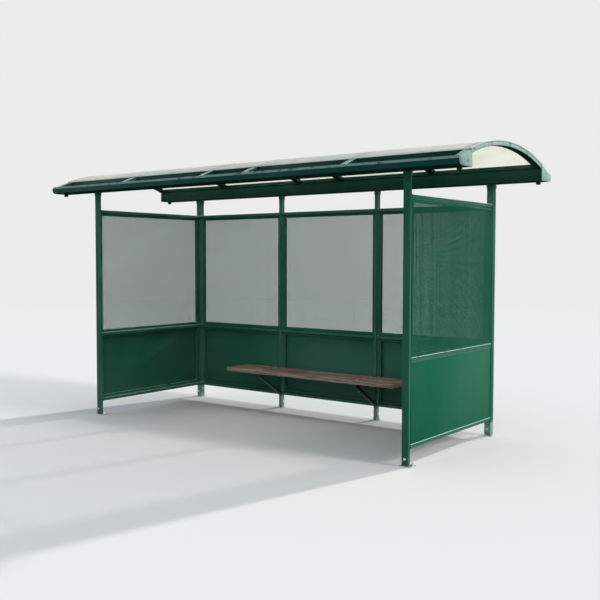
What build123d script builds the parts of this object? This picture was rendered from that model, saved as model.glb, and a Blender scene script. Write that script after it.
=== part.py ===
from build123d import *
import math
import os

os.makedirs("parts", exist_ok=True)

# A small waiting shelter, all sizes in millimetres.
# X runs along the shelter, +Y points to its back wall, Z is up from the ground.
# The origin lies on the ground, under the middle of the roof.

# Steel tube of the end frames, the back frame and the roof ribs
tube_wide = 60.0
tube_thin = 30.0
tube_wall = 3.0
tube_corner = 6.0

# Plan
frame_spacing = 3500.0
wall_depth = 1425.0
roof_length = 4500.0
roof_depth = 1690.0
front_setback = 155.0

# Heights above the ground
post_top = 2200.0
top_rail_top = 2030.0
mid_rail_top = 820.0
bottom_rail_top = 168.0

# Base shoes
shoe_length = 100.0
shoe_depth = 90.0
shoe_plate = 6.0
shoe_stub = 120.0
stub_clearance = 0.5

# Wall panels, each a sheet on a welded frame of square bar, with its sheet outwards
panel_gap = 10.0
panel_foot_gap = 4.0
solid_head_gap = 7.0
mesh_head_gap = 15.0
panel_bar = 25.0
panel_sheet = 2.0
panel_inset = 4.0
spacer_side = 12.0
spacer_from_corner = 120.0

# Plain grid of openings that stands for the fine holes of the perforated sheets
mesh_pitch = 330.0
mesh_land = 115.0

# Folded gutters
gutter_sheet = 3.0
gutter_bend = 5.0
gutter_width = 205.0
gutter_flat = 157.0
lip_foot_rise = 7.0
lip_lean = 14.0
lip_height = 44.5
lip_return = 15.0
lip_return_rise = 22.0
end_plate = 3.0
spout_radius = 20.0
spout_bore = 16.0
spout_drop = 25.0
spout_from_end = 60.0

# Roof, an arch of constant radius over the two gutter lips
roof_rise = 194.0
rib_to_lip = 14.0
rib_inner_x = 250.0
rib_outer_x = 1250.0
edge_rail_width = 15.0
roof_sheet = 5.0
sheet_seat = 0.8
sheet_overhang = 10.0
sheet_gap = 4.0
cover_strip_width = 50.0
edge_trim_width = 25.0
strip_thick = 3.0

# Angle cleats between the post heads and the gutters
cleat_leg = 20.0
cleat_drop = 35.0
cleat_thick = 3.0

# Bench
seat_length = 2000.0
seat_top = 430.0
plank_width = 110.0
plank_thick = 40.0
plank_gap = 10.0
plank_edge = 3.0
plank_count = 3
seat_to_post = 15.0
bracket_bar = 30.0
bracket_foot = 145.0
bracket_nose = 25.0
bracket_plate = 8.0

# Places worked out from the sizes above
half_depth = roof_depth / 2
half_length = roof_length / 2
end_x = frame_spacing / 2
mid_post_x = frame_spacing / 6
front_y = front_setback - half_depth
front_post_back = front_y + tube_thin
back_y = front_y + wall_depth
back_frame_y = back_y + tube_wide / 2
gutter_wall_y = half_depth - gutter_width
gutter_end = half_length - end_plate
lip_top = post_top + lip_height
rib_crown = lip_top + roof_rise
rib_outer = (half_depth ** 2 + roof_rise ** 2) / (2 * roof_rise)
rib_inner = rib_outer - tube_thin
arch_centre = rib_crown - rib_outer
rib_end_y = half_depth - rib_to_lip
sheet_end_y = gutter_wall_y + sheet_overhang
end_rib_x = gutter_end - tube_wide / 2
rib_places = [-end_rib_x, -rib_outer_x, -rib_inner_x, rib_inner_x, rib_outer_x, end_rib_x]
rail_tops = {"top": top_rail_top, "mid": mid_rail_top, "bottom": bottom_rail_top}
sides = {"left": -1, "right": 1}


def tube(start, end, wide_dir):
    """Frame tube between two points, with its wide side along wide_dir."""
    run = Vector(*end) - Vector(*start)
    section = RectangleRounded(tube_wide, tube_thin, tube_corner)
    section -= Rectangle(tube_wide - 2 * tube_wall, tube_thin - 2 * tube_wall)
    return extrude(Plane(origin=start, x_dir=wide_dir, z_dir=run) * section, amount=run.length)


def along_x(face, x_from, x_to):
    """Extrusion along X of a face drawn in the Y-Z plane."""
    return Pos(x_from, 0, 0) * extrude(Plane.YZ * face, amount=x_to - x_from)


def arch_height(radius, y):
    """Height of a roof arc of the given radius at the distance y from the roof's middle."""
    return arch_centre + math.sqrt(radius ** 2 - y ** 2)


def arch_arc(radius, y_from, y_to):
    """Arc of the roof's curve between two distances from its middle."""
    y_mid = (y_from + y_to) / 2
    points = [(y, arch_height(radius, y)) for y in (y_from, y_mid, y_to)]
    return ThreePointArc(*points)


def arch_band(outer, inner, y_from, y_to):
    """Face between two roof arcs, with upright ends."""
    upper = arch_arc(outer, y_from, y_to)
    lower = arch_arc(inner, y_from, y_to)
    return make_face([upper, Line(upper @ 1, lower @ 1), lower, Line(lower @ 0, upper @ 0)])


def post(x, y, wide_dir):
    """Upright tube from its base shoe to the underside of the gutter."""
    return tube((x, y, shoe_plate), (x, y, post_top), wide_dir)


def stub(x, y, turned=False):
    """Short tube on a base shoe that the post slips over."""
    wide = tube_wide - 2 * (tube_wall + stub_clearance)
    thin = tube_thin - 2 * (tube_wall + stub_clearance)
    section = Rectangle(wide, thin) - Rectangle(wide - 2 * tube_wall, thin - 2 * tube_wall)
    if turned:
        section = Rot(0, 0, 90) * section
    return Pos(x, y, shoe_plate) * extrude(section, amount=shoe_stub)


def shoe(x, y):
    """Base plate of a shoe, flat on the ground."""
    return Pos(x, y, shoe_plate / 2) * Box(shoe_length, shoe_depth, shoe_plate)


def base_shoes():
    """Shoe under each post: one stub at the front posts, two at the corners, one at the back posts."""
    shoes = []
    for side in sides.values():
        x = side * end_x
        shoes.append(shoe(x, front_y + shoe_depth / 2) + stub(x, front_y + tube_thin / 2))
        corner = shoe(x, back_frame_y) + stub(x, back_y + tube_thin / 2)
        shoes.append(corner + stub(x, back_y + 1.5 * tube_thin))
        x = side * mid_post_x
        shoes.append(shoe(x, back_frame_y) + stub(x, back_frame_y, turned=True))
    return Compound(children=shoes)


def side_rail(side, top):
    """Rail of an end frame, from the front post to the corner post."""
    x = side * end_x
    z = top - tube_thin / 2
    return tube((x, front_post_back, z), (x, back_y, z), (1, 0, 0))


def back_bays():
    """Left and right ends of the three bays between the back posts."""
    corner = end_x - tube_wide / 2
    inner = mid_post_x - tube_thin / 2
    outer = mid_post_x + tube_thin / 2
    return {"left": (-corner, -outer), "middle": (-inner, inner), "right": (outer, corner)}


def back_rail(top):
    """Rail of the back frame, one length in each bay."""
    z = top - tube_thin / 2
    lengths = [tube((a, back_frame_y, z), (b, back_frame_y, z), (0, 1, 0)) for a, b in back_bays().values()]
    return Compound(children=lengths)


def mesh_openings(width, height):
    """Openings of a perforated sheet, evenly spaced inside its bars."""
    spans = [width - 2 * panel_bar, height - 2 * panel_bar]
    counts = [max(1, round(span / mesh_pitch)) for span in spans]
    pitches = [span / count for span, count in zip(spans, counts)]
    opening = Rectangle(*[pitch - mesh_land for pitch in pitches])
    return [place * opening for place in GridLocations(*pitches, *counts)]


def panel(width, height, kind):
    """Sheet welded to a frame of square bar, with a spacer at each fixing to the posts."""
    outline = Rectangle(width, height)
    opening = Rectangle(width - 2 * panel_bar, height - 2 * panel_bar)
    sheet = outline - mesh_openings(width, height) if kind == "mesh" else outline
    body = extrude(outline - opening, amount=panel_bar) + extrude(sheet, amount=-panel_sheet)
    reach = (width + panel_gap) / 2
    level = height / 2 - spacer_from_corner
    for x in (-reach, reach):
        for y in (-level, level):
            body += Pos(x, y, panel_bar / 2) * Box(panel_gap, spacer_side, spacer_side)
    return body


def panel_heights(kind):
    """Lower and upper edge of the perforated or the solid panels."""
    if kind == "mesh":
        return mid_rail_top + panel_foot_gap, top_rail_top - tube_thin - mesh_head_gap
    return bottom_rail_top + panel_foot_gap, mid_rail_top - tube_thin - solid_head_gap


def side_panel(side, kind):
    """Panel of an end wall, its frame on the inside and its sheet outwards."""
    low, high = panel_heights(kind)
    width = back_y - front_post_back - 2 * panel_gap
    x = side * (end_x + tube_wide / 2 - panel_inset - panel_sheet)
    place = Plane(
        origin=(x, (back_y + front_post_back) / 2, (low + high) / 2),
        x_dir=(0, -side, 0),
        z_dir=(-side, 0, 0),
    )
    return place * panel(width, high - low, kind)


def back_panel(bay, kind):
    """Panel of the back wall, its frame on the inside and its sheet outwards."""
    low, high = panel_heights(kind)
    x_from, x_to = back_bays()[bay]
    y = back_y + tube_wide - panel_inset - panel_sheet
    place = Plane(origin=((x_from + x_to) / 2, y, (low + high) / 2), x_dir=(1, 0, 0), z_dir=(0, -1, 0))
    return place * panel(x_to - x_from - 2 * panel_gap, high - low, kind)


def gutter_outline():
    """Outer line of the back gutter's section, from its inner wall to the edge of its lip."""
    lip_foot_y = half_depth - lip_lean
    return [
        (gutter_wall_y, rib_crown),
        (gutter_wall_y, post_top),
        (gutter_wall_y + gutter_flat, post_top),
        (lip_foot_y, post_top + lip_foot_rise),
        (half_depth, lip_top),
        (half_depth - lip_return, lip_top + lip_return_rise),
    ]


def gutter():
    """Folded back gutter with its drain spouts; its inner wall ends under the ribs."""
    fold = FilletPolyline(*gutter_outline(), radius=gutter_bend)
    band = make_face(offset(fold, amount=gutter_sheet, side=Side.RIGHT, closed=True))
    body = along_x(band, -gutter_end, gutter_end)
    zone_end = gutter_wall_y + 2 * gutter_sheet
    wall_zone = arch_band(rib_outer + roof_rise, rib_inner, gutter_wall_y - gutter_sheet, zone_end)
    body -= along_x(wall_zone, -half_length, half_length)
    y = gutter_wall_y + gutter_flat / 2
    for side in sides.values():
        x = side * (half_length - spout_from_end)
        pipe = Cylinder(spout_radius, spout_drop, align=(Align.CENTER, Align.CENTER, Align.MAX))
        bore = Cylinder(spout_bore, 2 * (spout_drop + gutter_sheet))
        body = body + Pos(x, y, post_top) * pipe - Pos(x, y, post_top) * bore
    return body


def end_plate_face():
    """Outline of the plate that closes the end of the back gutter, up to the roof arc."""
    wall_line, *folds = gutter_outline()[1:5]
    top = arch_arc(rib_outer, gutter_wall_y, half_depth)
    base = Polyline(top @ 0, wall_line, *folds)
    return make_face([*base.edges(), top])


def end_plates():
    """Plates on the four gutter ends."""
    face = end_plate_face()
    plates = []
    for x in (-half_length, gutter_end):
        back_plate = along_x(face, x, x + end_plate)
        plates += [back_plate, mirror(back_plate, about=Plane.XZ)]
    return Compound(children=plates)


def rib(x):
    """Roof rib, a tube rolled on the flat, from lip to lip over both gutters."""
    half = tube_wide / 2
    body = along_x(arch_band(rib_outer, rib_inner, -rib_end_y, rib_end_y), x - half, x + half)
    hollow = arch_band(rib_outer - tube_wall, rib_inner + tube_wall, -half_depth, half_depth)
    return body - along_x(hollow, x - half + tube_wall, x + half - tube_wall)


def edge_rail():
    """Back edge rail, one length between each two ribs, on top of the gutter's inner wall."""
    face = arch_band(rib_outer, rib_inner, gutter_wall_y - edge_rail_width, gutter_wall_y)
    half = tube_wide / 2
    lengths = [along_x(face, a + half, b - half) for a, b in zip(rib_places, rib_places[1:])]
    return Compound(children=lengths)


def sheet_face(inner, thick):
    """Face of a layer that lies over the ribs between the gutters."""
    return arch_band(inner + thick, inner, -sheet_end_y, sheet_end_y)


def roof_sheet_between(x_from, x_to):
    """Translucent roof sheet bent over the ribs."""
    return along_x(sheet_face(rib_outer + sheet_seat, roof_sheet), x_from, x_to)


def strip(x, width):
    """Flat strip bent over the roof sheet."""
    return along_x(sheet_face(rib_outer + sheet_seat + roof_sheet, strip_thick), x - width / 2, x + width / 2)


def cleat(x_face, side, y_from, y_to):
    """Angle cleat from a post's side face to the underside of the gutter."""
    points = [(0, 0), (cleat_leg, 0), (cleat_leg, -cleat_thick), (cleat_thick, -cleat_thick)]
    points += [(cleat_thick, -cleat_drop), (0, -cleat_drop)]
    outline = Polyline(*[(side * x, z) for x, z in points], close=True)
    place = Plane(origin=(x_face, y_from, post_top), x_dir=(1, 0, 0), z_dir=(0, -1, 0))
    return extrude(place * make_face(outline), amount=y_from - y_to)


def gutter_cleats():
    """Cleats on both sides of every post head."""
    cleats = []
    for side in sides.values():
        for turn in sides.values():
            x = side * end_x + turn * tube_wide / 2
            cleats.append(cleat(x, turn, front_y, front_post_back))
            cleats.append(cleat(x, turn, back_y, back_y + tube_wide))
            x = side * mid_post_x + turn * tube_thin / 2
            cleats.append(cleat(x, turn, back_y, back_y + tube_wide))
    return Compound(children=cleats)


def seat_planks():
    """Planks of the bench, with eased long edges."""
    planks = []
    back_edge = back_y - seat_to_post
    for number in range(plank_count):
        y = back_edge - plank_width / 2 - number * (plank_width + plank_gap)
        board = Box(seat_length, plank_width, plank_thick)
        board = chamfer(board.edges().filter_by(Axis.X), plank_edge)
        planks.append(Pos(0, y, seat_top - plank_thick / 2) * board)
    return Compound(children=planks)


def bench_bracket(x):
    """Bench bracket: an arm under the planks, a wall plate on the post and a slanted strut."""
    arm_top = seat_top - plank_thick
    arm_under = arm_top - bracket_bar
    seat_depth = plank_count * plank_width + (plank_count - 1) * plank_gap
    nose = back_y - seat_to_post - seat_depth + bracket_nose
    arm = Polyline((nose, arm_top), (back_y, arm_top), (back_y, arm_under), (nose, arm_under), close=True)
    plate_face = back_y - bracket_plate
    plate = Polyline(
        (back_y, arm_top), (plate_face, arm_top), (plate_face, bracket_foot), (back_y, bracket_foot), close=True
    )
    slope = Vector(plate_face - nose, bracket_foot - arm_under)
    across = bracket_bar * slope.length / slope.X
    strut = Polyline(
        (nose, arm_under), (plate_face, bracket_foot), (plate_face, bracket_foot + across),
        (nose + across * slope.X / -slope.Y, arm_under), close=True,
    )
    face = make_face(arm) + make_face(plate) + make_face(strut)
    return along_x(face, x - bracket_bar / 2, x + bracket_bar / 2)


def build_nodes():
    """All pieces of the shelter by name."""
    nodes = {"base_shoes": base_shoes(), "gutter_cleats": gutter_cleats(), "seat_planks": seat_planks()}
    for name, side in sides.items():
        x = side * end_x
        nodes[f"front_post_{name}"] = post(x, front_y + tube_thin / 2, (1, 0, 0))
        nodes[f"corner_post_{name}"] = post(x, back_y + tube_thin / 2, (1, 0, 0))
        nodes[f"back_frame_post_{name}"] = post(x, back_y + 1.5 * tube_thin, (1, 0, 0))
        nodes[f"back_middle_post_{name}"] = post(side * mid_post_x, back_frame_y, (0, 1, 0))
        for level, top in rail_tops.items():
            nodes[f"{level}_rail_{name}"] = side_rail(side, top)
        for kind in ("mesh", "solid"):
            nodes[f"{kind}_panel_{name}"] = side_panel(side, kind)
        nodes[f"bench_bracket_{name}"] = bench_bracket(side * mid_post_x)
    for level, top in rail_tops.items():
        nodes[f"{level}_rail_back"] = back_rail(top)
    for bay in back_bays():
        for kind in ("mesh", "solid"):
            nodes[f"{kind}_panel_back_{bay}"] = back_panel(bay, kind)
    nodes["gutter_back"] = gutter()
    nodes["gutter_front"] = mirror(gutter(), about=Plane.XZ)
    nodes["gutter_end_plates"] = end_plates()
    nodes["edge_rail_back"] = edge_rail()
    nodes["edge_rail_front"] = mirror(edge_rail(), about=Plane.XZ)
    for number, x in enumerate(rib_places, start=1):
        nodes[f"roof_rib_{number}"] = rib(x)
    joints = [-rib_outer_x, rib_inner_x]
    half_gap = sheet_gap / 2
    nodes["roof_sheet_left"] = roof_sheet_between(-half_length, joints[0] - half_gap)
    nodes["roof_sheet_middle"] = roof_sheet_between(joints[0] + half_gap, joints[1] - half_gap)
    nodes["roof_sheet_right"] = roof_sheet_between(joints[1] + half_gap, half_length)
    nodes["sheet_cover_strips"] = Compound(children=[strip(x, cover_strip_width) for x in joints])
    trim_x = half_length - edge_trim_width / 2
    nodes["roof_edge_trims"] = Compound(children=[strip(x, edge_trim_width) for x in (-trim_x, trim_x)])
    return nodes


for node, shape in build_nodes().items():
    export_step(shape, f"parts/{node}.step")
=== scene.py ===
"""Looks of the bus shelter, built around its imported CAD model.

Everything is in metres in the frame of the CAD model: X along the shelter, +Y to its back wall, Z up.
"""

import math

import bmesh
import bpy
from mathutils import Matrix, Vector


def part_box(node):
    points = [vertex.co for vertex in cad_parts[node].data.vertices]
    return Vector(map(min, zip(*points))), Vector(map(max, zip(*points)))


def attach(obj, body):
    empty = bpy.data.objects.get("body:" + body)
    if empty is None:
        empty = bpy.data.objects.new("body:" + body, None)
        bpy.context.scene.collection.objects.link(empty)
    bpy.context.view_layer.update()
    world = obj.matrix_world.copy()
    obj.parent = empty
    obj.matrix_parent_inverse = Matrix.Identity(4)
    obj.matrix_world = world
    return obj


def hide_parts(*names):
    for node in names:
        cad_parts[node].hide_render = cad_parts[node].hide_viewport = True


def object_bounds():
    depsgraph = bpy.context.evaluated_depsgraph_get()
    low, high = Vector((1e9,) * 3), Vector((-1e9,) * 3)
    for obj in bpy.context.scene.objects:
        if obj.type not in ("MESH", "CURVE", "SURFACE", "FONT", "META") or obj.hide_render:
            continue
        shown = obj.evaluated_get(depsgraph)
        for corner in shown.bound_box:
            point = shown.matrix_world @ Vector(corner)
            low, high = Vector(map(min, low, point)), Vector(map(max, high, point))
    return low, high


bl_info = {
    "name": "Bus shelter",
    "version": (1, 0, 0),
    "blender": (4, 5, 0),
    "location": "3D View > Sidebar > Shelter",
    "description": "Wall panels, bench boards, fixings and finishes of a steel bus shelter",
    "category": "Object",
}

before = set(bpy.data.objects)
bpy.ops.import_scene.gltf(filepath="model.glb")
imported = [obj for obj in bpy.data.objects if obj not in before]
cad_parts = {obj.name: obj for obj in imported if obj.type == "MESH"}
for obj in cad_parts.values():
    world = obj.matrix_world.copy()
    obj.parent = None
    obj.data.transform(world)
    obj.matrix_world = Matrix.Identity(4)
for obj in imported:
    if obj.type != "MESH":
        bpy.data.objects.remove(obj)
cad_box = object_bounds()

MM = 0.001
BODY = "root"
SIDES = (-1, 1)
ENDS = ("left", "right")
SMALL = 1e-5
SMOOTH_ANGLE = math.radians(30)

# Sun and rain reach what lies past these distances from the middle: along the shelter, and across its roof; there the
# tops are chalked and carry a painted highlight
OPEN_ALONG = 1.68
OPEN_ACROSS = 0.65

# Height up to which dirt splashes up a post and the feet of the back posts carry painted sunlight
FOOT = 0.14

# Webs that run up are thinner than those that run level by this much on each side, so that no faces coincide
HAIR = 0.03 * MM
BUSH_EDGE = 0.6 * MM

BOARDS = 3
BOARD_WIDTH = 110 * MM
BOARD_PITCH = 120 * MM

WASHER_THICKNESS = 2.5 * MM
HEAD_HEIGHT = 7.5 * MM
THREAD_FROM = 8 * MM
ANCHOR_THREAD = 12 * MM
ANCHOR_SPREAD = 30 * MM
ANCHOR_BEHIND_POST = 38 * MM
ANCHOR_BESIDE_POST = 18 * MM
SHOE_PLATE = 6 * MM

BRACKET_BOLT = 13 * MM
BRACKET_WASHER = 17 * MM
BRACKET_BOLT_LOW = 35 * MM
BRACKET_BOLT_HIGH = 60 * MM
BRACKET_BOLT_BACK = 15 * MM
COACH_HEAD = 4.5 * MM
COACH_SUNK = 0.6 * MM

RIBS = 6
SCREW_ROWS = (0.2, 0.34, 0.48, 0.61)
SCREW_ON_WASHER = 0.8 * MM

FLOOR_RADIUS = 60

# The floor fades into the background between these distances from the middle
FLOOR_FADES = (6.0, 24.0)

# Camera fitted to the straight edges of the photo; its turns are in degrees
CAMERA_PLACE = (4.937, -6.160, 1.554)
CAMERA_HEADING, CAMERA_TILT, CAMERA_ROLL = 37.332, 90 - 2.779, 0.093
CAMERA_LENS, CAMERA_SENSOR = 51.03, 36


def linear(code):
    """Linear red, green and blue of an sRGB hex value."""
    values = [int(code[place:place + 2], 16) / 255 for place in (0, 2, 4)]
    return tuple(v / 12.92 if v <= 0.04045 else ((v + 0.055) / 1.055) ** 2.4 for v in values)


def colour_setting(name, description, code):
    """Colour property with an sRGB hex default."""
    return bpy.props.FloatVectorProperty(
        name=name, description=description, subtype="COLOR", size=3, min=0, max=1, default=linear(code)
    )


def length_setting(name, description, millimetres):
    """Length property with its default in millimetres."""
    return bpy.props.FloatProperty(
        name=name, description=description, subtype="DISTANCE", unit="LENGTH", min=0, default=millimetres * MM
    )


class ShelterFinish(bpy.types.PropertyGroup):
    """Colours of the finishes."""

    paint: colour_setting("Paint", "Green powder coat of the steel frame", "0C6648")
    gutter_paint: colour_setting("Gutter paint", "Green powder coat of the gutters", "0A5445")
    # Darker than the frame's green: painted shade of the roof, put into the paint of the ribs and edge rails
    shaded_rib_paint: colour_setting("Rib paint", "Green powder coat of the ribs and edge rails", "083D33")
    # Also the pale colour of the painted highlight on open-air tops, the painted sheen on the roof's ends and the
    # painted sunlight on the back posts' feet
    chalk_and_highlight: colour_setting("Chalk", "Powder coat where sun and rain have chalked it", "AFCBBD")
    # Darker than the frame's green: painted shade under the bench, put into the brackets' paint
    shaded_bracket_paint: colour_setting("Bracket paint", "Dark paint of the bench brackets", "0C2E25")
    # Also darkens the roof's undersides as painted shade
    grime_and_shade: colour_setting("Grime", "Dirt that rain leaves on the paint", "2B302B")
    silt: colour_setting("Silt", "Wet silt and leaf mould in the gutters", "161D1A")
    dust: colour_setting("Dust", "Dried splash dirt near the ground", "8A8073")
    zinc: colour_setting("Zinc", "Hot-dip galvanised steel", "A9ADAE")
    bolt_zinc: colour_setting("Bolt zinc", "Bright zinc plate of bolts and screws", "DCDEDB")
    opal: colour_setting("Opal sheet", "Roof sheet of opal plastic", "FAFAF5")
    aluminium: colour_setting("Aluminium", "Mill-finish aluminium strips", "D3D6D8")
    wood_stain: colour_setting("Wood stain", "What is left of the boards' red-brown stain", "E9BDA8")
    wood_grey: colour_setting("Grey wood", "Board surface greyed by weather", "7C7A74")
    wood_dark: colour_setting("Dark wood", "Late wood and open checks in the boards", "5A453D")
    rubber: colour_setting("Rubber", "Sealing washers under the roof screws", "1C1C1D")


class ShelterPanels(bpy.types.PropertyGroup):
    """Sizes of the wall panels."""

    bar: length_setting("Bar", "Side of the square bar round a panel", 25)
    bar_edge: length_setting("Bar edge", "Rounding of the bar's edges", 3)
    sheet: length_setting("Sheet", "Thickness of a panel's sheet", 2)
    gap: length_setting("Gap", "Gap between a panel and its posts", 10)
    rail_gap: length_setting("Rail gap", "Gap between a panel's bars and the rails", 0.5)
    sheet_edge: length_setting("Sheet edge", "Rounding of the sheet's edges", 0.8)
    margin: length_setting("Margin", "Plain margin round the holes", 9)
    pitch: length_setting("Hole pitch", "Distance from hole to hole", 6.6)
    hole: length_setting("Hole", "Side of a hole in the perforated sheet", 4.6)
    bush: length_setting("Bush radius", "Radius of the spacer bushes", 7)
    bush_from_corner: length_setting("Bush place", "Distance of a bush from the panel's corner", 120)


class ShelterBench(bpy.types.PropertyGroup):
    """Sizes of the bench boards."""

    board_edge: length_setting("Board edge", "Rounding of the boards' long edges", 4)
    board_end: length_setting("Board end", "Rounding of the boards' ends", 1.5)
    unevenness: length_setting("Unevenness", "Height of the waves that weather leaves in a board", 1.2)
    cuts: bpy.props.IntProperty(name="Cuts", description="Cuts along a board", default=60, min=1)


class ShelterEdges(bpy.types.PropertyGroup):
    """Rounding of the edges of bars, tubes and plates."""

    rib: length_setting("Rib edge", "Corner radius of the ribs' tube", 4)
    plate: length_setting("Plate edge", "Rounding of the edges of shoes, cleats and end plates", 0.8)
    bracket: length_setting("Bracket edge", "Corner radius of the bench brackets' bars", 2)


class ShelterFixings(bpy.types.PropertyGroup):
    """Sizes of bolts and screws."""

    head: length_setting("Bolt head", "Width of a foot bolt's head across its flats", 17)
    washer: length_setting("Washer", "Outer diameter of a foot bolt's washer", 20)
    bolt_height: length_setting("Bolt height", "Height of the foot bolts above the ground", 60)
    screw: length_setting("Screw", "Diameter of a roof screw's round head", 8)
    bead: length_setting("Weld bead", "Radius of the weld beads", 1.8)
    coach: length_setting("Coach bolt", "Diameter of the coach bolts' heads in the boards", 17)


class ShelterStage(bpy.types.PropertyGroup):
    """Floor, light and camera."""

    floor: colour_setting("Floor", "Plain pale floor", "EAE5DD")
    backdrop: colour_setting("Backdrop", "Plain pale background", "ECECEA")
    sky: colour_setting("Fill light", "Colour of the soft light from all round", "D3E2F2")
    fill: bpy.props.FloatProperty(name="Fill", description="Strength of the soft light", default=0.8, min=0)
    key: bpy.props.FloatProperty(name="Key", description="Strength of the soft key light", default=1.3, min=0)
    rim: bpy.props.FloatProperty(name="Rim", description="Strength of the light from behind", default=2.2, min=0)
    ground: colour_setting("Ground", "Grey ground whose light the undersides catch", "6E6D6B")


# ---- materials ----


def add_node(tree, kind, inputs=None, out=0, **settings):
    """Adds a shader node and gives one of its outputs; inputs holds constants, or sockets to link from."""
    new = tree.nodes.new(f"ShaderNode{kind}")
    for name, value in settings.items():
        setattr(new, name, value)
    for name, value in (inputs or {}).items():
        socket = new.inputs[name]
        if isinstance(value, bpy.types.NodeSocket):
            tree.links.new(value, socket)
        else:
            socket.default_value = (*value, 1.0) if socket.type == "RGBA" else value
    return new.outputs[out] if new.outputs else None


def blotches(tree, place, size, stretch=(1, 1, 1), low=0.4, high=0.6, strength=1.0, shift=0.0, detail=3.0):
    """Mask of soft blotches of a real size in metres, drawn out by stretch along X, Y and Z."""
    scale = tuple(1 / (size * part) for part in stretch)
    moved = add_node(tree, "Mapping", {"Vector": place, "Location": (shift, shift / 2, shift / 3), "Scale": scale})
    noise = add_node(tree, "TexNoise", {"Vector": moved, "Scale": 1.0, "Detail": detail})
    span = {"Value": noise, "From Min": low, "From Max": high, "To Max": strength}
    return add_node(tree, "MapRange", span, interpolation_type="SMOOTHSTEP")


def coats(tree, colour, *layers):
    """Colour under layers, the lowest first: each is a colour and the masks whose product is its cover."""
    for over, mask, *more in layers:
        for part in more:
            mask = add_node(tree, "Math", {0: mask, 1: part}, operation="MULTIPLY")
        colour = add_node(tree, "Mix", {0: mask, 6: colour, 7: over}, out=2, data_type="RGBA")
    return colour


def new_material(name):
    """Node tree of a new, empty material, and the socket of a point's place."""
    material = bpy.data.materials.new(name)
    material.use_nodes = True
    material.node_tree.nodes.clear()
    return material.node_tree, add_node(material.node_tree, "TexCoord", out="Object")


def finish_material(tree, colour, roughness, relief=None, depth=0.0, **sockets):
    """Surface shader of a material, with its relief as bump of the given depth in metres."""
    inputs = {"Base Color": colour, "Roughness": roughness}
    inputs.update({name.replace("_", " "): value for name, value in sockets.items()})
    if relief is not None:
        inputs["Normal"] = add_node(tree, "Bump", {"Height": relief, "Distance": depth, "Strength": 1.0})
    shader = add_node(tree, "BsdfPrincipled", inputs)
    add_node(tree, "OutputMaterial", {"Surface": shader})


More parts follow.
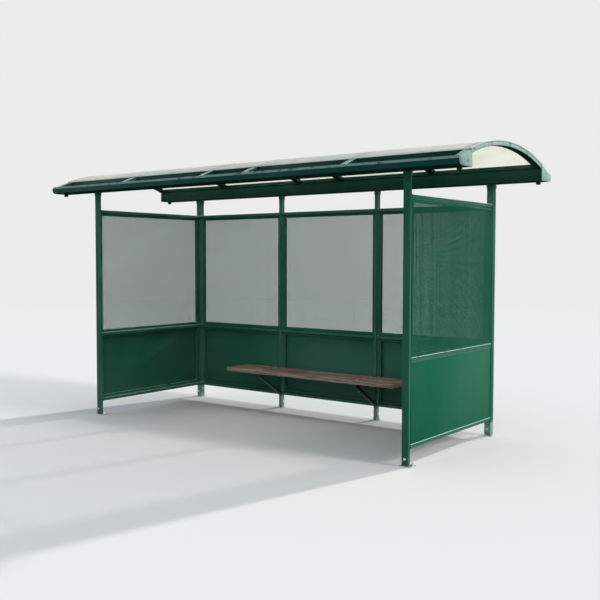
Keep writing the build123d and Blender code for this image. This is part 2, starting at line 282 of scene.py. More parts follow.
def powder_coat(name, paint, finish, gloss=0.14, faded=0.12, oil_can=0.0, silt=None, roof=False):
    """Polyester powder coat on galvanised steel, baked to a semi-gloss skin with a slight orange peel.

    Out of doors its tops turn chalky, with a painted highlight, rain draws grey streaks down it, and dirt splashes up
    its feet.
    Thin sheet under it is never quite flat, which oil_can gives in metres. Leaves and silt darken a gutter between
    the two heights of silt. On the roof the open ends are paled as a painted sheen, and painted shade darkens the
    undersides. Below it the faces towards the inside are paled in soft blotches: that film is a guess.
    """
    tree, place = new_material(name)
    height = add_node(tree, "SeparateXYZ", {0: place}, "Z")
    normal = add_node(tree, "NewGeometry", out="Normal")
    facing_up = add_node(tree, "SeparateXYZ", {0: normal}, "Z")
    fade = blotches(tree, place, 900 * MM, low=0.35, high=0.75, strength=faded)
    streaks = blotches(tree, place, 30 * MM, stretch=(1, 1, 26), low=0.5, high=0.8, strength=0.12, shift=3.0)
    colour = coats(tree, paint, (finish.chalk_and_highlight, fade), (finish.grime_and_shade, streaks))
    if silt:
        sunk = add_node(tree, "MapRange", {"Value": height, "From Min": silt[1], "From Max": silt[0]})
        lying = add_node(tree, "MapRange", {"Value": facing_up, "From Min": -0.4, "From Max": 0.2})
        colour = coats(tree, colour, (finish.silt, sunk, lying, 0.9))
    axis, cover = ("Y", OPEN_ACROSS) if roof else ("X", OPEN_ALONG)
    aside = add_node(tree, "VectorMath", {0: place}, operation="ABSOLUTE")
    past = add_node(tree, "SeparateXYZ", {0: aside}, axis)
    uncovered = add_node(tree, "MapRange", {"Value": past, "From Min": cover, "From Max": cover + 20 * MM})
    # Tops past the cover get the pale colour: chalking, and a painted highlight where the sun lights their edges
    steep, level, most = (0.4, 0.7, 0.8) if roof else (0.15, 0.6, 0.9)
    tops = add_node(tree, "MapRange", {"Value": facing_up, "From Min": steep, "From Max": level, "To Max": most})
    chalked = add_node(tree, "Math", {0: tops, 1: uncovered}, operation="MULTIPLY")
    if roof:
        # The open end faces of the roof get the pale colour too: a painted sheen of the low sun
        end = cad_box[1].x
        outward = add_node(tree, "VectorMath", {0: normal, 1: place}, operation="MULTIPLY")
        outward = add_node(tree, "SeparateXYZ", {0: outward}, "X")
        span = {"Value": outward, "From Min": 0.9 * end, "From Max": 0.98 * end, "To Max": 0.8}
        chalked = add_node(tree, "Math", {0: chalked, 1: add_node(tree, "MapRange", span)}, operation="MAXIMUM")
        # Faces turned down are darkened: painted shade on the undersides
        underside_shade = add_node(tree, "MapRange", {"Value": facing_up, "From Min": -0.6, "From Max": -0.95})
        colour = coats(tree, colour, (finish.grime_and_shade, underside_shade, 0.4))
        gloss = add_node(tree, "MapRange", {"Value": underside_shade, "To Min": gloss, "To Max": 0.0})
    else:
        # Faces turned towards the middle are paled in soft blotches with the pale colour; that film is a guess
        outward = add_node(tree, "VectorMath", {0: normal, 1: place}, "Value", operation="DOT_PRODUCT")
        inward = add_node(tree, "MapRange", {"Value": outward, "From Min": 0.0, "From Max": -0.3})
        film = blotches(tree, place, 900 * MM, low=0.1, high=0.75, strength=0.13, shift=11.0)
        # The feet of the back posts are pale and mottled in the photo, where the sun reaches them; here that is
        # painted sunlight. That may be sun; here they are bleached.
        low = add_node(tree, "MapRange", {"Value": height, "From Min": FOOT, "From Max": FOOT - 20 * MM})
        back = add_node(tree, "SeparateXYZ", {0: aside}, "Y")
        back = add_node(tree, "MapRange", {"Value": back, "From Min": 0.70, "From Max": 0.73})
        foot_sunlight = blotches(tree, place, 40 * MM, low=0.3, high=0.55, strength=0.75, shift=8.0)
        colour = coats(tree, colour, (finish.chalk_and_highlight, inward, film), (finish.chalk_and_highlight, low, back, foot_sunlight))
    patches = blotches(tree, place, 60 * MM, low=0.2, high=0.5, shift=6.0)
    chalked = add_node(tree, "Math", {0: chalked, 1: patches}, operation="MULTIPLY")
    splash = add_node(tree, "MapRange", {"Value": height, "From Min": FOOT, "From Max": 0.0})
    spots = blotches(tree, place, 45 * MM, low=0.35, high=0.7)
    splash = add_node(tree, "Math", {0: splash, 1: spots}, operation="MULTIPLY")
    # Chips in the coat are 1 to 3 mm wide and show the zinc under it.
    chips = blotches(tree, place, 5 * MM, low=0.79, high=0.81, shift=9.0, detail=1.0)
    colour = coats(tree, colour, (finish.chalk_and_highlight, chalked), (finish.dust, splash, 0.5), (finish.zinc, chips))
    worn = add_node(tree, "Math", {0: chalked, 1: splash}, operation="MAXIMUM")
    roughness = add_node(tree, "MapRange", {"Value": worn, "To Min": 0.38, "To Max": 0.75})
    # Orange peel is 1 to 2 mm from crest to crest; it is drawn at 4 mm so that it shows.
    peel = blotches(tree, place, 4 * MM, low=0.2, high=0.8, strength=0.03 * MM, detail=1.0)
    waves = blotches(tree, place, 350 * MM, low=0.2, high=0.8, strength=oil_can, shift=5.0, detail=1.0)
    relief = add_node(tree, "Math", {0: peel, 1: waves}, operation="ADD")
    finish_material(tree, colour, roughness, relief, 1.0, IOR=1.5, Specular_IOR_Level=gloss)


def galvanised_steel(finish):
    """Hot-dip galvanised steel: zinc frozen in spangles 8 to 15 mm wide, dulled to grey, with white bloom."""
    tree, place = new_material("galvanised_steel")
    cells = add_node(tree, "TexVoronoi", {"Vector": place, "Scale": 1 / (11 * MM)}, "Color")
    spangle = add_node(tree, "SeparateColor", {0: cells})
    dull = tuple(0.6 * part for part in finish.zinc)
    bloom = blotches(tree, place, 30 * MM, low=0.5, high=0.8, strength=0.5)
    height = add_node(tree, "SeparateXYZ", {0: place}, "Z")
    wet = add_node(tree, "MapRange", {"Value": height, "From Min": 0.1, "From Max": 0.0})
    spots = blotches(tree, place, 25 * MM, low=0.35, high=0.7)
    colour = coats(tree, finish.zinc, (dull, spangle, 0.5), (finish.opal, bloom), (finish.dust, wet, spots))
    roughness = add_node(tree, "MapRange", {"Value": spangle, "To Min": 0.42, "To Max": 0.6})
    finish_material(tree, colour, roughness, spangle, 0.03 * MM, Metallic=0.5)


def plated_steel(finish):
    """Bright zinc plate on turned bolts and nuts, faintly brushed, with the first grey of weather."""
    tree, place = new_material("plated_steel")
    worn = blotches(tree, place, 6 * MM, low=0.4, high=0.7, strength=0.6)
    brushed = blotches(tree, place, 0.6 * MM, stretch=(12, 1, 1), low=0.3, high=0.7)
    roughness = add_node(tree, "MapRange", {"Value": worn, "To Min": 0.28, "To Max": 0.5})
    colour = coats(tree, finish.bolt_zinc, (finish.zinc, worn))
    finish_material(tree, colour, roughness, brushed, 0.01 * MM, Metallic=1.0)


def mill_aluminium(finish):
    """Mill-finish aluminium strip: fine rolling lines along its length and grey oxide spots."""
    tree, place = new_material("mill_aluminium")
    spots = blotches(tree, place, 12 * MM, low=0.5, high=0.75, strength=0.6)
    # Rolling lines are a tenth of a millimetre apart; they are drawn at 1 mm so that they show.
    lines = blotches(tree, place, 1 * MM, stretch=(1, 60, 60), low=0.3, high=0.7)
    roughness = add_node(tree, "MapRange", {"Value": spots, "To Min": 0.34, "To Max": 0.55})
    colour = coats(tree, finish.aluminium, (finish.zinc, spots))
    finish_material(tree, colour, roughness, lines, 0.02 * MM, Metallic=0.9)


def opal_plastic(finish):
    """Opal polycarbonate sheet, extruded, with a satin skin: it passes light softly and is dusty in its hollows."""
    tree, place = new_material("opal_polycarbonate")
    dust = blotches(tree, place, 260 * MM, low=0.45, high=0.8, strength=0.12)
    run_off = blotches(tree, place, 30 * MM, stretch=(1, 14, 14), low=0.55, high=0.8, strength=0.12, shift=4.0)
    colour = coats(tree, finish.opal, (finish.dust, dust), (finish.dust, run_off))
    # A bent sheet is wavy by half a millimetre over a hand's width.
    waves = blotches(tree, place, 120 * MM, low=0.2, high=0.8, strength=1.0, detail=1.0)
    bump = add_node(tree, "Bump", {"Height": waves, "Distance": 0.5 * MM, "Strength": 1.0})
    roughness = add_node(tree, "MapRange", {"Value": dust, "From Max": 0.12, "To Min": 0.34, "To Max": 0.55})
    skin = add_node(tree, "BsdfPrincipled", {
        "Base Color": colour, "Roughness": roughness, "IOR": 1.4, "Normal": bump,
    })
    milk = add_node(tree, "BsdfTranslucent", {"Color": colour})
    both = add_node(tree, "MixShader", {0: 0.7, 1: skin, 2: milk})
    add_node(tree, "OutputMaterial", {"Surface": both})


def weathered_board(finish):
    """Hardwood boards, sawn along the grain, once stained red-brown; the weather greyed them and opened checks.

    Each board is a little lighter or darker than its neighbour, their edges keep more of the stain than their tops,
    and the saw left the grain of the edges in long light and dark flames.
    """
    tree, place = new_material("weathered_hardwood")
    # Fibres are 0.2 mm wide; they are drawn at 1.5 mm so that they show.
    fibre = blotches(tree, place, 1.5 * MM, stretch=(90, 1, 1), low=0.3, high=0.7, detail=2.0)
    rings = blotches(tree, place, 8 * MM, stretch=(30, 1.5, 1), low=0.44, high=0.58, shift=2.0)
    across = add_node(tree, "SeparateXYZ", {0: place}, "Y")
    board = add_node(tree, "Math", {0: across, 1: BOARD_PITCH}, operation="SNAP")
    cast = add_node(tree, "TexWhiteNoise", {"W": board}, "Value", noise_dimensions="1D")
    normal = add_node(tree, "NewGeometry", out="Normal")
    facing_up = add_node(tree, "SeparateXYZ", {0: normal}, "Z")
    tops = {"Value": facing_up, "From Min": 0.3, "From Max": 0.95, "To Min": 0.1, "To Max": 0.85}
    bare = add_node(tree, "Math", {
        0: add_node(tree, "MapRange", tops),
        1: blotches(tree, place, 110 * MM, stretch=(4, 1, 1), low=0.3, high=0.62),
    }, operation="MULTIPLY")
    # Checks are 1 to 2 mm wide and run a hand's length with the grain.
    checks = blotches(tree, place, 5 * MM, stretch=(60, 1, 1), low=0.66, high=0.72, shift=7.0, detail=1.0)
    dark = finish.wood_dark
    colour = coats(
        tree, finish.wood_stain, (finish.wood_grey, bare), (dark, cast, 0.3), (dark, rings, 0.55), (dark, fibre, 0.3),
        (dark, checks),
    )
    ridges = add_node(tree, "Math", {0: fibre, 1: rings}, operation="ADD")
    relief = add_node(tree, "Math", {0: checks, 1: 4.0, 2: ridges}, operation="MULTIPLY_ADD")
    lowered = add_node(tree, "Math", {0: relief, 1: -1.0}, operation="MULTIPLY")
    roughness = add_node(tree, "MapRange", {"Value": bare, "To Min": 0.62, "To Max": 0.85})
    finish_material(tree, colour, roughness, lowered, 0.3 * MM)


def sealing_rubber(finish):
    """Black EPDM rubber of the sealing washers, moulded, matt and greyed by dust."""
    tree, place = new_material("sealing_rubber")
    finish_material(tree, coats(tree, finish.rubber, (finish.dust, blotches(tree, place, 4 * MM, strength=0.4))), 0.75)


# ---- shaping ----


def dress(piece, material):
    """Gives all of a piece one material."""
    piece.data.materials.clear()
    piece.data.materials.append(material)


def select_only(*pieces):
    """Selects these pieces and nothing else, in object mode, with the first one active."""
    if bpy.context.mode != "OBJECT":
        bpy.ops.object.mode_set(mode="OBJECT")
    bpy.ops.object.select_all(action="DESELECT")
    for piece in pieces:
        piece.select_set(True)
    if pieces:
        bpy.context.view_layer.objects.active = pieces[0]


def edit(piece, kind="FACE"):
    """Opens a piece in edit mode with nothing selected."""
    select_only(piece)
    bpy.ops.object.mode_set(mode="EDIT")
    bpy.ops.mesh.select_mode(type=kind)
    bpy.ops.mesh.select_all(action="DESELECT")


def pick_edges(piece, wanted):
    """Selects the edges that the test wants, in edit mode."""
    mesh = bmesh.from_edit_mesh(piece.data)
    for edge in mesh.edges:
        edge.select_set(bool(wanted(edge)))
    mesh.select_flush_mode()
    bmesh.update_edit_mesh(piece.data)


def modify(piece, kind, **settings):
    """Adds a modifier and applies it."""
    select_only(piece)
    modifier = piece.modifiers.new(kind.lower(), kind)
    for name, value in settings.items():
        setattr(modifier, name, value)
    bpy.ops.object.modifier_apply(modifier=modifier.name)


def settle(piece, name, material, place=None, replaces=()):
    select_only(piece)
    if place is not None:
        piece.matrix_world = place
    bpy.ops.object.transform_apply()
    bpy.ops.object.shade_smooth_by_angle(angle=SMOOTH_ANGLE)
    piece.name = name
    piece.data.name = name
    dress(piece, bpy.data.materials[material])
    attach(piece, BODY)
    if replaces:
        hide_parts(*replaces)


def joined(pieces):
    """One object of several."""
    select_only(*pieces)
    bpy.ops.object.join()
    return bpy.context.view_layer.objects.active


def copy_at(source, place):
    """Copy of a finished shape with a mesh of its own, moved and turned by a matrix."""
    copy = bpy.data.objects.new(source.name, source.data.copy())
    bpy.context.scene.collection.objects.link(copy)
    copy.matrix_world = place
    return copy


def box_between(low, high):
    """Box between two corners, with its origin at the world's."""
    select_only()
    low, high = Vector(low), Vector(high)
    bpy.ops.mesh.primitive_cube_add(size=1, location=(low + high) / 2, scale=high - low)
    bpy.ops.object.transform_apply()
    return bpy.context.object


def open_plane(width, height, kind="FACE"):
    """Flat rectangle on Z = 0, open in edit mode with all of it selected."""
    select_only()
    bpy.ops.mesh.primitive_plane_add(size=1)
    plane = bpy.context.object
    edit(plane, kind)
    bpy.ops.mesh.select_all(action="SELECT")
    bpy.ops.transform.resize(value=(width, height, 1))
    return plane


def axes(origin, x_dir, z_dir):
    """Matrix of a place with the given X and Z directions."""
    x_dir, z_dir = Vector(x_dir).normalized(), Vector(z_dir).normalized()
    turn = Matrix((x_dir, z_dir.cross(x_dir), z_dir)).transposed().to_4x4()
    return Matrix.Translation(Vector(origin)) @ turn


# ---- wall panels ----


def flat_ring(width, height, border, thickness, offset, edge, segments):
    """Flat ring with rounded edges, on the side of Z = 0 that offset gives as 1 or -1."""
    ring = open_plane(width, height)
    bpy.ops.mesh.inset(thickness=border)
    bpy.ops.mesh.delete(type="FACE")
    modify(ring, "SOLIDIFY", thickness=thickness, offset=offset)
    modify(ring, "BEVEL", width=edge, segments=segments, limit_method="ANGLE")
    return ring


def panel_ring(width, bottom, top, sizes):
    """Ring of square bar over Z = 0, mitred and welded at its corners."""
    ring = flat_ring(width, top - bottom, sizes.bar, sizes.bar, 1, sizes.bar_edge, 3)
    ring.location.y = (top + bottom) / 2
    bpy.ops.object.transform_apply()
    return ring


def strips(low, high, step, count):
    """Row of flat strips, the first between two corners."""
    first = box_between(low, high)
    modify(
        first, "ARRAY", count=count, use_relative_offset=False, use_constant_offset=True,
        constant_offset_displace=step,
    )
    return first


def perforated_sheet(width, height, sizes):
    """Sheet under Z = 0 with rows of square holes and a plain margin: the webs between the holes cross each other."""
    reach_x, reach_y = width / 2 - sizes.margin, height / 2 - sizes.margin
    across, up = (round(2 * reach / sizes.pitch) for reach in (reach_x, reach_y))
    step_x, step_y = 2 * reach_x / across, 2 * reach_y / up
    web, sheet = (sizes.pitch - sizes.hole) / 2, sizes.sheet
    upright = strips(
        (-reach_x - web, -reach_y, HAIR - sheet), (web - reach_x, reach_y, -HAIR), (step_x, 0, 0), across + 1
    )
    level = strips(
        (-reach_x, -reach_y - web, -sheet), (reach_x, web - reach_y, 0), (0, step_y, 0), up + 1
    )
    margin = flat_ring(width, height, sizes.margin, sheet - HAIR, -1, sizes.sheet_edge, 2)
    margin.location.z = -HAIR / 2
    return joined([upright, level, margin])


def plain_sheet(width, height, sizes):
    """Plain sheet under Z = 0 with rolled edges."""
    sheet = box_between((-width / 2, -height / 2, -sizes.sheet), (width / 2, height / 2, 0))
    modify(sheet, "BEVEL", width=sizes.sheet_edge, segments=3, limit_method="ANGLE")
    return sheet


def spacer_bushes(width, height, sizes):
    """Short bushes that hold the panel off its posts."""
    bushes = []
    for side in SIDES:
        for end in SIDES:
            select_only()
            place = (side * (width + sizes.gap) / 2, end * (height / 2 - sizes.bush_from_corner), sizes.bar / 2)
            bpy.ops.mesh.primitive_cylinder_add(
                vertices=24, radius=sizes.bush, depth=sizes.gap, location=place, rotation=(0, math.pi / 2, 0)
            )
            bush = bpy.context.object
            bpy.ops.object.transform_apply()
            modify(bush, "BEVEL", width=BUSH_EDGE, segments=2, limit_method="ANGLE")
            bushes.append(bush)
    return bushes


class SHELTER_OT_wall_panels(bpy.types.Operator):
    """Builds the wall panels: perforated or plain sheets on rings of square bar"""

    bl_idname = "shelter.wall_panels"
    bl_label = "Wall Panels"

    def execute(self, context):
        sizes = context.scene.shelter_panels
        for node in sorted(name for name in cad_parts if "_panel_" in name):
            low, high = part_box(node)
            middle = (low + high) / 2
            if "back" in node:
                side_x, facing, width = (1, 0, 0), (0, -1, 0), high.x - low.x
                origin = (middle.x, high.y - sizes.sheet, middle.z)
            else:
                side = math.copysign(1, middle.x)
                side_x, facing, width = (0, -side, 0), (-side, 0, 0), high.y - low.y
                origin = (side * (max(abs(low.x), abs(high.x)) - sizes.sheet), middle.y, middle.z)
            width -= 2 * sizes.gap
            height = high.z - low.z
            make_sheet = perforated_sheet if node.startswith("mesh") else plain_sheet
            wall = node.split("_")[2]
            rails = ("mid_rail", "top_rail") if node.startswith("mesh") else ("bottom_rail", "mid_rail")
            below, above = (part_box(f"{rail}_{wall}") for rail in rails)
            bottom = below[1].z + sizes.rail_gap - middle.z
            top = above[0].z - sizes.rail_gap - middle.z
            parts = [panel_ring(width, bottom, top, sizes), make_sheet(width, height, sizes)]
            panel = joined(parts + spacer_bushes(width, height, sizes))
            name = node.replace("mesh", "perforated").replace("solid", "plain")
            settle(panel, name, "panel_powder_coat", axes(origin, side_x, facing), [node])
        return {"FINISHED"}


# ---- carried-over CAD nodes ----

# Material of the nodes whose names start so; the longest start counts
FINISHES = {
    "": "frame_powder_coat",
    "gutter": "gutter_powder_coat",
    "gutter_end": "roof_powder_coat",
    "gutter_cleats": "frame_powder_coat",
    "edge_rail": "roof_powder_coat",
    "roof_rib": "roof_powder_coat",
    "roof_edge": "mill_aluminium",
    "roof_sheet": "opal_polycarbonate",
    "sheet_cover": "mill_aluminium",
    "base_shoes": "galvanised_steel",
    "bench_bracket": "bracket_powder_coat",
    "seat_planks": "weathered_hardwood",
}


def finish_of(node):
    """Name of a CAD node's material."""
    return FINISHES[max((start for start in FINISHES if node.startswith(start)), key=len)]


class SHELTER_OT_frame_finish(bpy.types.Operator):
    """Makes the materials and gives the frame, gutters, shoes, roof sheets and strips their finishes"""

    bl_idname = "shelter.frame_finish"
    bl_label = "Frame Finish"

    def execute(self, context):
        finish = context.scene.shelter_finish
        low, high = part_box("gutter_back")
        powder_coat("panel_powder_coat", finish.paint, finish, gloss=0.03, faded=0.04, oil_can=0.5 * MM)
        powder_coat("frame_powder_coat", finish.paint, finish, faded=0.06)
        powder_coat("bracket_powder_coat", finish.shaded_bracket_paint, finish, gloss=0.05)
        powder_coat("roof_powder_coat", finish.shaded_rib_paint, finish, gloss=0.08, roof=True)
        powder_coat(
            "gutter_powder_coat", finish.gutter_paint, finish, gloss=0.08, faded=0.08, oil_can=0.3 * MM,
            silt=(low.z + 60 * MM, high.z + 25 * MM), roof=True,
        )
        for make in (galvanised_steel, plated_steel, mill_aluminium, opal_plastic, weathered_board, sealing_rubber):
            make(finish)
        for node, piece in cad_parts.items():
            for slot in piece.material_slots:
                slot.material = bpy.data.materials[finish_of(node)]
        return {"FINISHED"}


def softened(node, width, name):
    """Makes a copy of a CAD node with its sharp edges rounded, in the node's place."""
    copy = copy_at(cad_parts[node], Matrix.Identity(4))
    edit(copy, "VERT")
    bpy.ops.mesh.select_all(action="SELECT")
    bpy.ops.mesh.remove_doubles(threshold=SMALL)
    bpy.ops.mesh.customdata_custom_splitnormals_clear()
    bpy.ops.mesh.dissolve_limited(angle_limit=math.radians(0.5))
    modify(copy, "BEVEL", width=width, segments=2, limit_method="ANGLE", angle_limit=math.radians(40))
    settle(copy, name, finish_of(node), replaces=[node])


class SHELTER_OT_soft_edges(bpy.types.Operator):
    """Rounds the edges of the ribs, end plates, shoes, cleats and bench brackets"""

    bl_idname = "shelter.soft_edges"
    bl_label = "Soft Edges"

    def execute(self, context):
        edges = context.scene.shelter_edges
        jobs = {
            "roof_rib": (edges.rib, "green_paint"),
            "gutter_end": (edges.plate, "green_paint"),
            "gutter_cleats": (edges.plate, "green_paint"),
            "base_shoes": (edges.plate, "galvanised_steel"),
            "bench_bracket": (edges.bracket, "dark_paint"),
        }
        for node in sorted(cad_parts):
            for start, (width, slot) in jobs.items():
                if node.startswith(start):
                    softened(node, width, f"soft_{node}")
        return {"FINISHED"}


# ---- bench ----


def lengthwise(edge):
    """True for the edges that run along a board."""
    return abs((edge.verts[0].co - edge.verts[1].co).x) > BOARD_WIDTH


class SHELTER_OT_bench_boards(bpy.types.Operator):
    """Builds the three weathered boards of the bench"""

    bl_idname = "shelter.bench_boards"
    bl_label = "Bench Boards"

    def execute(self, context):
        sizes = context.scene.shelter_bench
        low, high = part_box("seat_planks")
        boards = []
        for number in range(BOARDS):
            front = low.y + number * BOARD_PITCH
            board = box_between((low.x, front, low.z), (high.x, front + BOARD_WIDTH, high.z))
            edit(board, "EDGE")
            pick_edges(board, lengthwise)
            bpy.ops.mesh.bevel(offset=sizes.board_edge, segments=3)
            pick_edges(board, lambda edge: all(
                min(abs(vert.co.x - low.x), abs(vert.co.x - high.x)) < SMALL for vert in edge.verts
            ))
            bpy.ops.mesh.bevel(offset=sizes.board_end, segments=2)
            pick_edges(board, lengthwise)
            bpy.ops.mesh.subdivide(number_cuts=sizes.cuts)
            boards.append(board)
            select_only()
        bench = joined(boards)
        waves = bpy.data.textures.new("board_waves", "CLOUDS")
        waves.noise_scale = 150 * MM
        modify(bench, "DISPLACE", texture=waves, texture_coords="GLOBAL", strength=sizes.unevenness, mid_level=0.5)
        settle(bench, "bench_boards", "weathered_hardwood", replaces=["seat_planks"])
        return {"FINISHED"}


# ---- fixings ----


def turned_disc(radius, depth, sides, edge):
    """Disc or nut on Z = 0 with a bevelled rim."""
    select_only()
    bpy.ops.mesh.primitive_cylinder_add(vertices=sides, radius=radius, depth=depth, location=(0, 0, depth / 2))
    disc = bpy.context.object
    bpy.ops.object.transform_apply()
    edit(disc, "EDGE")
    pick_edges(disc, lambda part: all(vert.co.z > depth - SMALL for vert in part.verts))
    bpy.ops.mesh.bevel(offset=edge, segments=2)
    select_only()
    return disc


def hexagon_bolt(across_flats, washer, thread=0.0):
    """Hexagon head on a washer; with a thread length it is a nut with the bolt's end standing out."""
    plate = turned_disc(washer / 2, WASHER_THICKNESS, 32, 0.5 * MM)
    head = turned_disc(across_flats / math.sqrt(3), HEAD_HEIGHT, 6, 1.2 * MM)
    head.location.z = WASHER_THICKNESS
    parts = [plate, head]
    if thread:
        end = turned_disc(across_flats * 0.31, thread, 20, 1 * MM)
        end.location.z = THREAD_FROM
        parts.append(end)
    select_only(*parts)
    bpy.ops.object.transform_apply()
    return joined(parts)


def discard(*shapes):
    """Removes shapes whose copies are in place."""
    for shape in shapes:
        bpy.data.objects.remove(shape)


class SHELTER_OT_foot_bolts(bpy.types.Operator):
    """Builds the bolts through the post feet and the anchor nuts on the shoes"""

    bl_idname = "shelter.foot_bolts"
    bl_label = "Foot Bolts"

    def execute(self, context):
        sizes = context.scene.shelter_fixings
        through = hexagon_bolt(sizes.head, sizes.washer)
        anchor = hexagon_bolt(sizes.head, sizes.washer, ANCHOR_THREAD)
        bolts = []
        for name in ENDS:
            low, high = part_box(f"front_post_{name}")
            x = (low.x + high.x) / 2
            spots = [(through, (x, low.y, sizes.bolt_height), (0, -1, 0))]
            spots.append((through, (x, high.y, sizes.bolt_height), (0, 1, 0)))
            for turn in SIDES:
                spot = (x + turn * ANCHOR_SPREAD, high.y + ANCHOR_BEHIND_POST, SHOE_PLATE)
                spots.append((anchor, spot, (0, 0, 1)))
            low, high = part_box(f"corner_post_{name}")
            spots.append((through, (x, low.y, sizes.bolt_height), (0, -1, 0)))
            spots.append((through, (x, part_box(f"back_frame_post_{name}")[1].y, sizes.bolt_height), (0, 1, 0)))
            low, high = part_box(f"back_middle_post_{name}")
            y = (low.y + high.y) / 2
            for turn, face in ((-1, low.x), (1, high.x)):
                spots.append((through, (face, y, sizes.bolt_height), (turn, 0, 0)))
                spots.append((anchor, (face + turn * ANCHOR_BESIDE_POST, y, SHOE_PLATE), (0, 0, 1)))
            for shape, spot, facing in spots:
                across = (0, 0, 1) if facing[2] == 0 else (1, 0, 0)
                bolts.append(copy_at(shape, axes(spot, across, facing)))
        discard(through, anchor)
        settle(joined(bolts), "foot_bolts", "plated_steel")
        return {"FINISHED"}


def bead_loop(width, height, radius):
    """Closed bead round a tube of that section, in the plane Z = 0."""
    loop = open_plane(width, height, "VERT")
    bpy.ops.mesh.bevel(offset=1.5 * radius, segments=3, affect="VERTICES")
    bpy.ops.mesh.delete(type="ONLY_FACE")
    select_only(loop)
    bpy.ops.object.convert(target="CURVE")
    loop.data.bevel_depth = radius
    loop.data.bevel_resolution = 2
    bpy.ops.object.convert(target="MESH")
    return bpy.context.object


class SHELTER_OT_weld_beads(bpy.types.Operator):
    """Runs the painted weld beads round the rails where they meet the posts"""

    bl_idname = "shelter.weld_beads"
    bl_label = "Weld Beads"

    def execute(self, context):
        radius = context.scene.shelter_fixings.bead
        low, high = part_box("mid_rail_left")
        shape = bead_loop(high.x - low.x + radius, high.z - low.z + radius, radius)
        left, right = (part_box(f"back_middle_post_{side}") for side in ENDS)
        beads = []
        for level in ("bottom", "mid", "top"):
            for side in ENDS:
                low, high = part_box(f"{level}_rail_{side}")
                for y in (low.y + radius / 2, high.y - radius / 2):
                    spot = ((low.x + high.x) / 2, y, (low.z + high.z) / 2)
                    beads.append(copy_at(shape, axes(spot, (1, 0, 0), (0, 1, 0))))
            low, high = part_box(f"{level}_rail_back")
            bays = ((low.x, left[0].x), (left[1].x, right[0].x), (right[1].x, high.x))
            for x in (end for start, stop in bays for end in (start + radius / 2, stop - radius / 2)):
                spot = (x, (low.y + high.y) / 2, (low.z + high.z) / 2)
                beads.append(copy_at(shape, axes(spot, (0, 1, 0), (1, 0, 0))))
        discard(shape)
        settle(joined(beads), "weld_beads", "frame_powder_coat")
        return {"FINISHED"}


class SHELTER_OT_bench_bolts(bpy.types.Operator):
    """Builds the coach bolts of the bench boards and the bolts that hold the brackets to their posts"""

    bl_idname = "shelter.bench_bolts"
    bl_label = "Bench Bolts"

    def execute(self, context):
        sizes = context.scene.shelter_fixings
        coach = turned_disc(sizes.coach / 2, COACH_HEAD, 28, 3.4 * MM)
        through = hexagon_bolt(BRACKET_BOLT, BRACKET_WASHER)
        board_low, board_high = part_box("seat_planks")
        bolts = []
        for side in ENDS:
            low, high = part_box(f"bench_bracket_{side}")
            x = (low.x + high.x) / 2
            for number in range(BOARDS):
                spot = (x, board_low.y + BOARD_WIDTH / 2 + number * BOARD_PITCH, board_high.z - COACH_SUNK)
                bolts.append(copy_at(coach, axes(spot, (1, 0, 0), (0, 0, 1))))
            post_low, post_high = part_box(f"back_middle_post_{side}")
            for z in (low.z + BRACKET_BOLT_LOW, high.z - BRACKET_BOLT_HIGH):
                for turn, face in ((-1, post_low.x), (1, post_high.x)):
                    spot = (face, post_low.y + BRACKET_BOLT_BACK, z)
                    bolts.append(copy_at(through, axes(spot, (0, 0, 1), (turn, 0, 0))))
        discard(coach, through)
        settle(joined(bolts), "bench_bolts", "galvanised_steel")
        return {"FINISHED"}


class SHELTER_OT_roof_screws(bpy.types.Operator):
    """Builds the screws that hold the roof sheets to the ribs, on their rubber washers"""

    bl_idname = "shelter.roof_screws"
    bl_label = "Roof Screws"

    def execute(self, context):
        head = context.scene.shelter_fixings.screw
        washer = turned_disc(0.9 * head, 1 * MM, 24, 0.4 * MM)
        flange = turned_disc(0.8 * head, 1 * MM, 24, 0.4 * MM)
        screw = joined([flange, turned_disc(0.5 * head, 3 * MM, 20, 1.6 * MM)])
        covers = [
            piece for node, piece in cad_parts.items()
            if node.startswith(("roof_sheet", "roof_edge_trims", "sheet_cover"))
        ]
        washers, screws = [], []
        for number in range(1, RIBS + 1):
            low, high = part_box(f"roof_rib_{number}")
            x = (low.x + high.x) / 2
            for y in SCREW_ROWS:
                for side in SIDES:
                    hits = [piece.ray_cast((x, side * y, cad_box[1].z + 1), (0, 0, -1)) for piece in covers]
                    top, facing = max((place.z, normal) for hit, place, normal, face in hits if hit)
                    spot = Vector((x, side * y, top))
                    washers.append(copy_at(washer, axes(spot, (1, 0, 0), facing)))
                    screws.append(copy_at(screw, axes(spot + SCREW_ON_WASHER * facing, (1, 0, 0), facing)))
        discard(washer, screw)
        settle(joined(washers), "screw_washers", "sealing_rubber")
        settle(joined(screws), "roof_screws", "plated_steel")
        return {"FINISHED"}


# ---- stage ----


def pale_rays(tree):
    """Mask of the rays that show the pale surroundings: the camera's, and those of metal and plastic."""
    mask = add_node(tree, "LightPath", out="Is Camera Ray")
    for name in ("Is Glossy Ray", "Is Transmission Ray"):
        mask = add_node(tree, "Math", {0: mask, 1: add_node(tree, "LightPath", out=name)}, operation="MAXIMUM")
    return mask


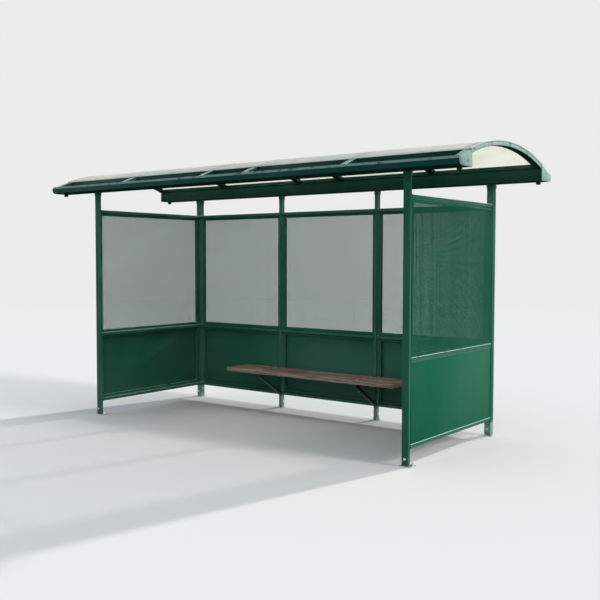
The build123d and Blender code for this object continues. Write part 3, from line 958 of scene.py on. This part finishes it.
class SHELTER_OT_stage(bpy.types.Operator):
    """Sets the plain floor, the soft light and the camera"""

    bl_idname = "shelter.stage"
    bl_label = "Stage"

    def execute(self, context):
        settings = context.scene.shelter_stage
        scene = context.scene
        scene.view_settings.view_transform = "Standard"
        select_only()
        bpy.ops.mesh.primitive_circle_add(vertices=96, radius=FLOOR_RADIUS, fill_type="NGON", location=(0, 0, 0))
        floor = bpy.context.object
        floor.name = "floor"
        tree, place = new_material("plain_floor")
        distance = add_node(tree, "VectorMath", {0: place}, "Value", operation="LENGTH")
        near, far = FLOOR_FADES
        faded = add_node(tree, "MapRange", {"Value": distance, "From Min": near, "From Max": far})
        shown = pale_rays(tree)
        seen = add_node(tree, "Math", {0: faded, 1: shown}, operation="MULTIPLY")
        plain = add_node(tree, "BsdfDiffuse", {"Color": coats(tree, settings.ground, (settings.floor, shown))})
        glow = add_node(tree, "Emission", {"Color": settings.backdrop, "Strength": 1.0})
        add_node(tree, "OutputMaterial", {"Surface": add_node(tree, "MixShader", {0: seen, 1: plain, 2: glow})})
        dress(floor, bpy.data.materials["plain_floor"])

        scene.world = bpy.data.worlds.new("studio")
        scene.world.use_nodes = True
        tree = scene.world.node_tree
        tree.nodes.clear()
        soft = add_node(tree, "Background", {"Color": settings.sky, "Strength": settings.fill})
        pale = add_node(tree, "Background", {"Color": settings.backdrop, "Strength": 1.0})
        mixed = add_node(tree, "MixShader", {0: pale_rays(tree), 1: soft, 2: pale})
        add_node(tree, "OutputWorld", {"Surface": mixed})

        lamps = (
            ("key_light", settings.key, 14, (0.85, 0.10, 0.50)),
            ("rim_light", settings.rim, 3, (0.20, 0.88, 0.42)),
        )
        for name, energy, angle, towards in lamps:
            bpy.ops.object.light_add(type="SUN")
            lamp = bpy.context.object
            lamp.name = name
            lamp.data.energy = energy
            lamp.data.angle = math.radians(angle)
            lamp.rotation_euler = Vector(towards).to_track_quat("Z", "Y").to_euler()

        bpy.ops.object.camera_add(location=CAMERA_PLACE)
        camera = bpy.context.object
        camera.data.sensor_width = CAMERA_SENSOR
        camera.data.lens = CAMERA_LENS
        look = Matrix.Rotation(math.radians(CAMERA_HEADING), 4, "Z")
        look = look @ Matrix.Rotation(math.radians(CAMERA_TILT), 4, "X")
        look = look @ Matrix.Rotation(math.radians(CAMERA_ROLL), 4, "Z")
        camera.rotation_euler = look.to_euler()
        scene.camera = camera
        return {"FINISHED"}


class SHELTER_PT_sidebar(bpy.types.Panel):
    """Lists the steps and the settings of the shelter"""

    bl_label = "Bus Shelter"
    bl_idname = "SHELTER_PT_sidebar"
    bl_space_type = "VIEW_3D"
    bl_region_type = "UI"
    bl_category = "Shelter"

    def draw(self, context):
        for step in STEPS:
            self.layout.operator(step.bl_idname)
        for group in SETTINGS:
            column = self.layout.column()
            for name in getattr(context.scene, group).bl_rna.properties.keys():
                if name not in ("rna_type", "name"):
                    column.prop(getattr(context.scene, group), name)


SETTINGS = {
    "shelter_finish": ShelterFinish,
    "shelter_panels": ShelterPanels,
    "shelter_bench": ShelterBench,
    "shelter_edges": ShelterEdges,
    "shelter_fixings": ShelterFixings,
    "shelter_stage": ShelterStage,
}
STEPS = (
    SHELTER_OT_frame_finish,
    SHELTER_OT_wall_panels,
    SHELTER_OT_soft_edges,
    SHELTER_OT_bench_boards,
    SHELTER_OT_foot_bolts,
    SHELTER_OT_weld_beads,
    SHELTER_OT_bench_bolts,
    SHELTER_OT_roof_screws,
    SHELTER_OT_stage,
)


def register():
    for group, kind in SETTINGS.items():
        bpy.utils.register_class(kind)
        setattr(bpy.types.Scene, group, bpy.props.PointerProperty(type=kind))
    for step in STEPS:
        bpy.utils.register_class(step)
    bpy.utils.register_class(SHELTER_PT_sidebar)


def unregister():
    bpy.utils.unregister_class(SHELTER_PT_sidebar)
    for step in reversed(STEPS):
        bpy.utils.unregister_class(step)
    for group, kind in SETTINGS.items():
        delattr(bpy.types.Scene, group)
        bpy.utils.unregister_class(kind)


def main():
    register()
    bpy.ops.shelter.frame_finish()
    bpy.ops.shelter.wall_panels()
    bpy.ops.shelter.soft_edges()
    bpy.ops.shelter.bench_boards()
    bpy.ops.shelter.foot_bolts()
    bpy.ops.shelter.weld_beads()
    bpy.ops.shelter.bench_bolts()
    bpy.ops.shelter.roof_screws()
    bpy.ops.shelter.stage()
    select_only()


if __name__ == "__main__":
    main()
